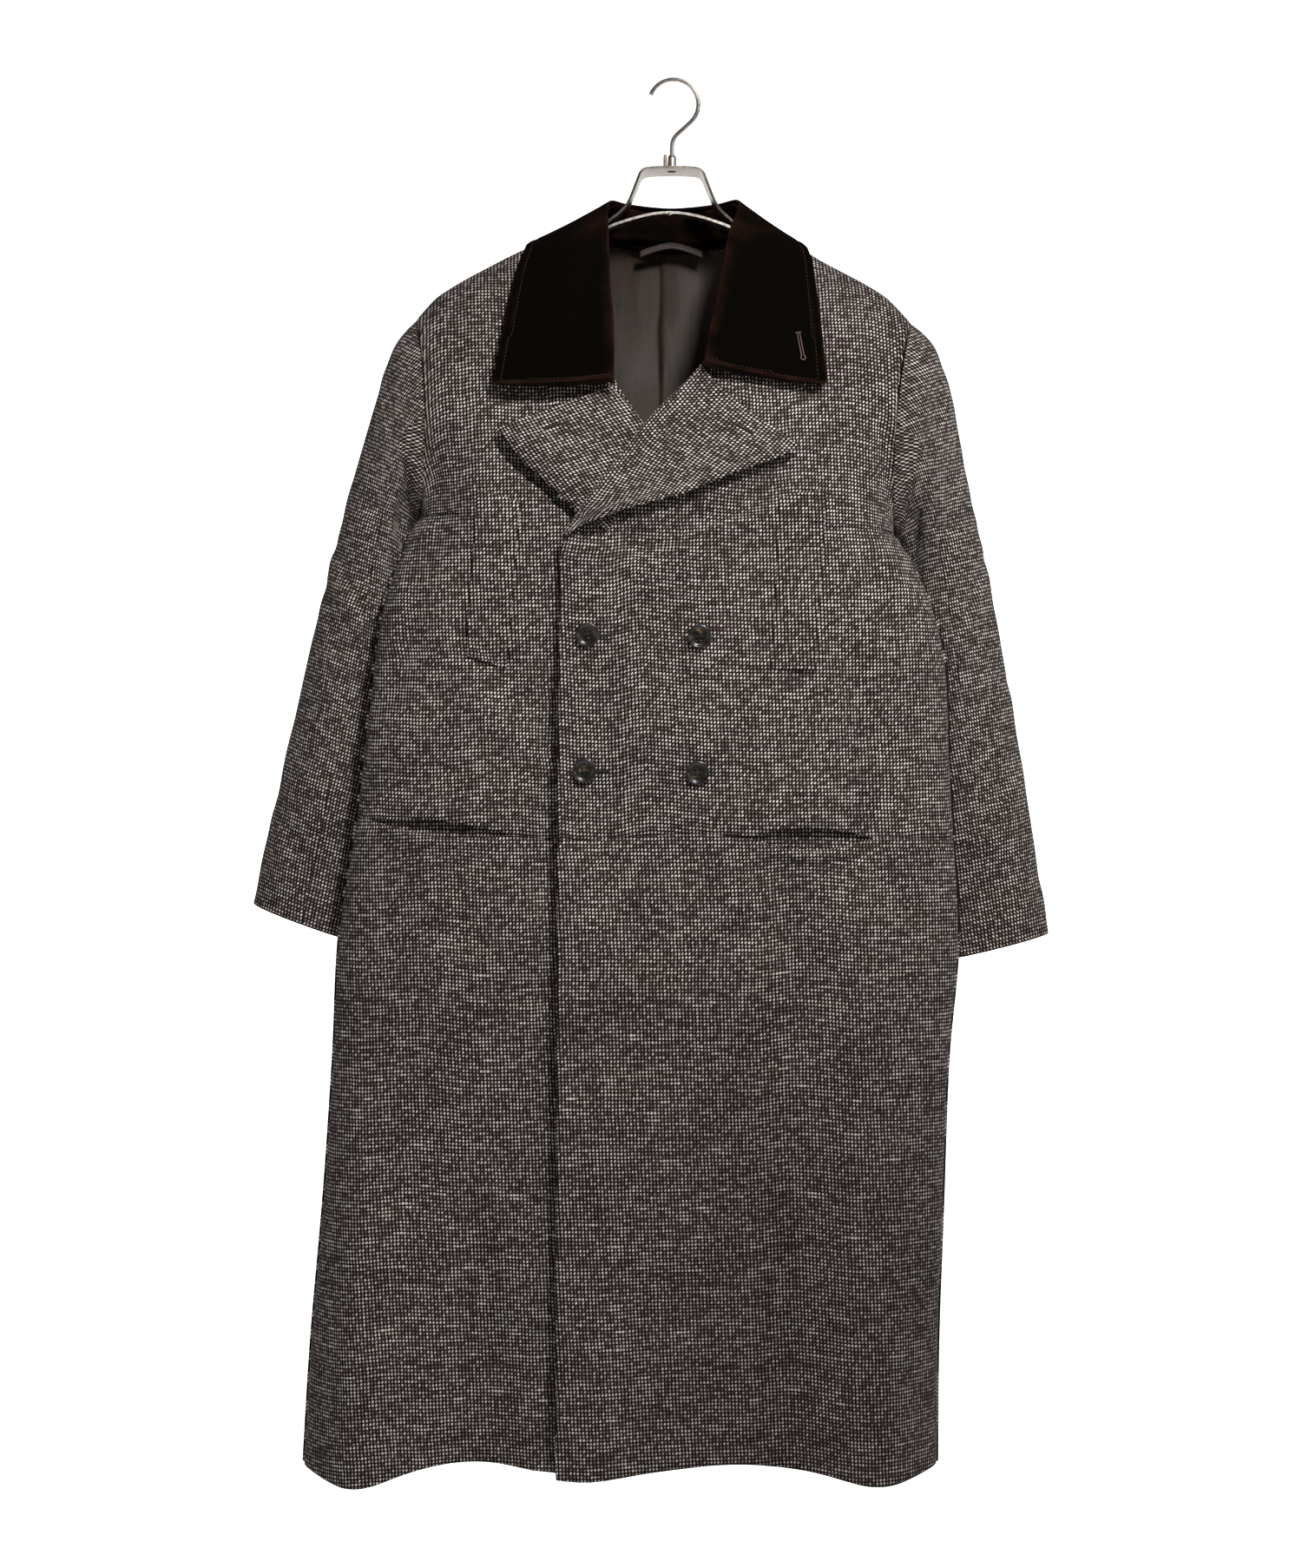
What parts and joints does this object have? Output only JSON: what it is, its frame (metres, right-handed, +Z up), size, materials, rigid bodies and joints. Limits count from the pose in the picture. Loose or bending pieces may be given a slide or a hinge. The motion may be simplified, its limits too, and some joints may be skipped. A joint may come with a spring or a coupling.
{
  "type": "tweed overcoat on a hanger",
  "caption": "Long double-breasted tweed overcoat with a velvet collar, notched lapels and gaping waist pockets, hung open-necked on a satin metal hanger.",
  "frame": {"origin": "crown of the hook's inside, where a rail carries the hanger", "axes": "+Z up, -Y towards the viewer of the coat's front, +X to that viewer's right"},
  "size_m": [0.837, 0.1892, 1.439],
  "materials": {
    "tweed": "matt woollen tweed, dark brown with pale flecks",
    "velvet": "dark brown velvet",
    "lining": "smooth grey-brown lining",
    "horn": "polished dark horn",
    "metal": "satin steel"
  },
  "bodies": {
    "root": {"front_right_upper": "tweed", "front_right_skirt": "tweed", "front_left_upper": "tweed", "front_left_skirt": "tweed", "back": "tweed", "sleeve_left_top": "tweed", "sleeve_left_under": "tweed", "sleeve_right_top": "tweed", "sleeve_right_under": "tweed", "lapel_right": "tweed", "lapel_left": "tweed", "welt_left": "tweed", "welt_right": "tweed", "pocket_facing_left": "tweed", "pocket_facing_right": "tweed", "collar_stand": "velvet", "collar_fall": "velvet", "lining_back": "lining", "hanger_loop": "lining", "button_1": "horn", "button_2": "horn", "button_3": "horn", "button_4": "horn", "hanger_hook": "metal", "hanger_ferrule": "metal", "hanger_band": "metal", "hanger_bow": "metal", "hanger_arm_left": "metal", "hanger_arm_right": "metal"}
  },
  "joints": []
}
